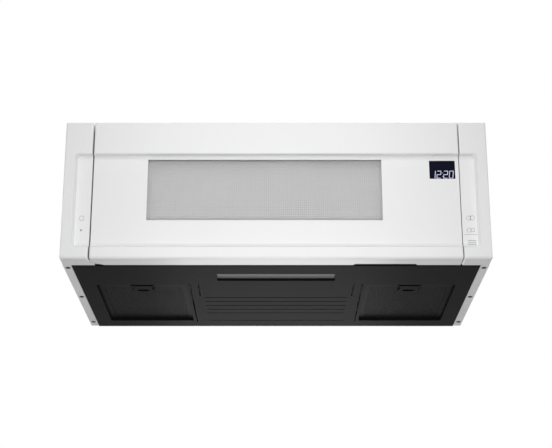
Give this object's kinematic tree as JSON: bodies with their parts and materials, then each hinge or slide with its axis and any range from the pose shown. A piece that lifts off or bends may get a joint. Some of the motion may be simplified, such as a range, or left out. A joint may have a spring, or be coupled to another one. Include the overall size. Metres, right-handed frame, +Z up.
{
  "type": "over-the-range microwave oven",
  "caption": "Low-profile white microwave oven with a cooktop hood: dished left-hinged door, wide window, touch keys on end columns and a black base with grease filters.",
  "frame": {"origin": "on the wall face at the back, on the centre line, level with the underside of the base", "axes": "+X to the right of someone facing the oven, +Y into the wall, +Z up"},
  "size_m": [0.76, 0.447, 0.26],
  "materials": {
    "white_steel": "satin white powder coat",
    "white_abs": "gloss white moulding",
    "black_steel": "satin black paint",
    "zinc_steel": "galvanised sheet",
    "cavity_enamel": "light grey enamel",
    "black_abs": "fine-grain black moulding",
    "grey_abs": "grey moulding",
    "window_glass": "clear toughened glass",
    "screen_steel": "grey perforated sheet",
    "door_steel": "light grey enamel",
    "display_acrylic": "smoked acrylic",
    "circuit_board": "coated circuit board",
    "lamp_lens": "frosted lens",
    "black_screws": "black zinc plate",
    "bright_steel": "zinc plate",
    "filter_frame": "dark anodised",
    "filter_mesh": "dark expanded mesh",
    "mica": "mica sheet",
    "magnetron_steel": "plated yoke",
    "dark_iron": "varnished laminations",
    "grey_moulding": "natural moulding",
    "rubber": "moulded rubber",
    "charcoal": "activated carbon pad",
    "motor_steel": "pressed can",
    "tray_glass": "clear heat-proof glass",
    "lamp_glass": "clear bulb in its holder"
  },
  "bodies": {
    "cabinet": {"base_plate": "black_steel", "blower_housing": "zinc_steel", "blower_motor": "dark_iron", "blower_plate": "zinc_steel", "cavity_lamp": "lamp_glass", "charcoal_filter": "charcoal", "component_tray": "zinc_steel", "cord_grommet": "rubber", "damper_housing": "zinc_steel", "fan_motor": "dark_iron", "fan_shroud": "zinc_steel", "flange_screws": "black_screws", "hinge_brackets": "zinc_steel", "hinge_pins": "bright_steel", "hv_capacitor": "bright_steel", "hv_transformer": "dark_iron", "interlock_switches": "black_abs", "latch_board": "black_abs", "left_end_column": "white_abs", "light_board": "circuit_board", "light_lens": "lamp_lens", "magnetron": "magnetron_steel", "outer_case": "white_steel", "oven_cavity": "cavity_enamel", "power_board": "circuit_board", "rear_panel": "zinc_steel", "right_end_column": "white_abs", "top_nuts": "bright_steel", "touch_boards": "circuit_board", "turntable_motor": "motor_steel", "waveguide": "zinc_steel", "waveguide_cover": "mica"},
    "door": {"door_front": "white_abs", "window_glass": "window_glass", "window_screen": "screen_steel", "door_frame": "door_steel", "choke_cover": "grey_abs", "display_lens": "display_acrylic", "display_board": "circuit_board", "handle_pocket": "black_abs", "latch_spring": "bright_steel"},
    "latch": {"latch_lever": "black_abs"},
    "lower_plunger": {"lower_switch_plunger": "black_abs"},
    "upper_plunger": {"upper_switch_plunger": "black_abs"},
    "turntable": {"turntable_coupler": "grey_moulding", "glass_tray": "tray_glass"},
    "roller_carrier": {"roller_ring": "grey_moulding"},
    "roller_a": {"roller_1": "grey_moulding"},
    "roller_b": {"roller_2": "grey_moulding"},
    "roller_c": {"roller_3": "grey_moulding"},
    "blower_rotor": {"blower_shaft": "bright_steel", "blower_wheels": "grey_moulding"},
    "fan_rotor": {"fan_blade": "grey_moulding"},
    "damper": {"damper_flap": "zinc_steel"},
    "left_filter": {"left_filter_frame": "filter_frame", "left_filter_mesh": "filter_mesh"},
    "right_filter": {"right_filter_frame": "filter_frame", "right_filter_mesh": "filter_mesh"},
    "left_ring": {"left_filter_ring": "black_abs"},
    "right_ring": {"right_filter_ring": "black_abs"}
  },
  "joints": [
    {"name": "door_hinge", "type": "hinge", "parent": "cabinet", "child": "door", "pos_m": [-0.3214, -0.44, 0.13], "axis": [0, 0, -1], "range_deg": [0, 95]},
    {"name": "latch_slide", "type": "slide", "parent": "door", "child": "latch", "axis": [0, 0, 1], "range_m": [0, 0.004], "stiffness_N_per_m": 300, "deforming": ["latch_spring"]},
    {"name": "lower_switch_press", "type": "slide", "parent": "cabinet", "child": "lower_plunger", "axis": [0, 1, 0], "range_m": [0, 0.0015], "stiffness_N_per_m": 200},
    {"name": "upper_switch_press", "type": "slide", "parent": "cabinet", "child": "upper_plunger", "axis": [0, 1, 0], "range_m": [0, 0.0015], "stiffness_N_per_m": 200},
    {"name": "turntable_spin", "type": "hinge", "parent": "cabinet", "child": "turntable", "pos_m": [-0.015, -0.2218, 0.0606], "axis": [0, 0, 1], "continuous": true},
    {"name": "roller_ring_spin", "type": "hinge", "parent": "cabinet", "child": "roller_carrier", "pos_m": [-0.015, -0.2218, 0.0523], "axis": [0, 0, 1], "continuous": true},
    {"name": "roller_a_roll", "type": "hinge", "parent": "roller_carrier", "child": "roller_a", "pos_m": [0.085, -0.2218, 0.0523], "axis": [1, 0, 0], "continuous": true},
    {"name": "roller_b_roll", "type": "hinge", "parent": "roller_carrier", "child": "roller_b", "pos_m": [-0.065, -0.1352, 0.0523], "axis": [-0.5, 0.866, 0], "continuous": true},
    {"name": "roller_c_roll", "type": "hinge", "parent": "roller_carrier", "child": "roller_c", "pos_m": [-0.065, -0.3084, 0.0523], "axis": [-0.5, -0.866, 0], "continuous": true},
    {"name": "blower_spin", "type": "hinge", "parent": "cabinet", "child": "blower_rotor", "pos_m": [-0.316, -0.241, 0.158], "axis": [0, 1, 0], "continuous": true},
    {"name": "cooling_fan_spin", "type": "hinge", "parent": "cabinet", "child": "fan_rotor", "pos_m": [0.3, -0.062, 0.1], "axis": [0, 1, 0], "continuous": true},
    {"name": "damper_swing", "type": "hinge", "parent": "cabinet", "child": "damper", "pos_m": [0, -0.044, 0.2468], "axis": [-1, 0, 0], "range_deg": [0, 75]},
    {"name": "left_filter_tilt", "type": "hinge", "parent": "cabinet", "child": "left_filter", "pos_m": [-0.2505, -0.046, 0.009], "axis": [1, 0, 0], "range_deg": [0, 45]},
    {"name": "right_filter_tilt", "type": "hinge", "parent": "cabinet", "child": "right_filter", "pos_m": [0.2505, -0.046, 0.009], "axis": [1, 0, 0], "range_deg": [0, 45]},
    {"name": "left_ring_pull", "type": "hinge", "parent": "left_filter", "child": "left_ring", "pos_m": [-0.2505, -0.271, 0.0034], "axis": [-1, 0, 0], "range_deg": [0, 90]},
    {"name": "right_ring_pull", "type": "hinge", "parent": "right_filter", "child": "right_ring", "pos_m": [0.2505, -0.271, 0.0034], "axis": [-1, 0, 0], "range_deg": [0, 90]}
  ],
  "couplings": [
    {"joint": "roller_ring_spin", "follows": "turntable_spin", "ratio": 0.5},
    {"joint": "roller_a_roll", "follows": "turntable_spin", "ratio": -6.25},
    {"joint": "roller_b_roll", "follows": "turntable_spin", "ratio": -6.25},
    {"joint": "roller_c_roll", "follows": "turntable_spin", "ratio": -6.25}
  ]
}
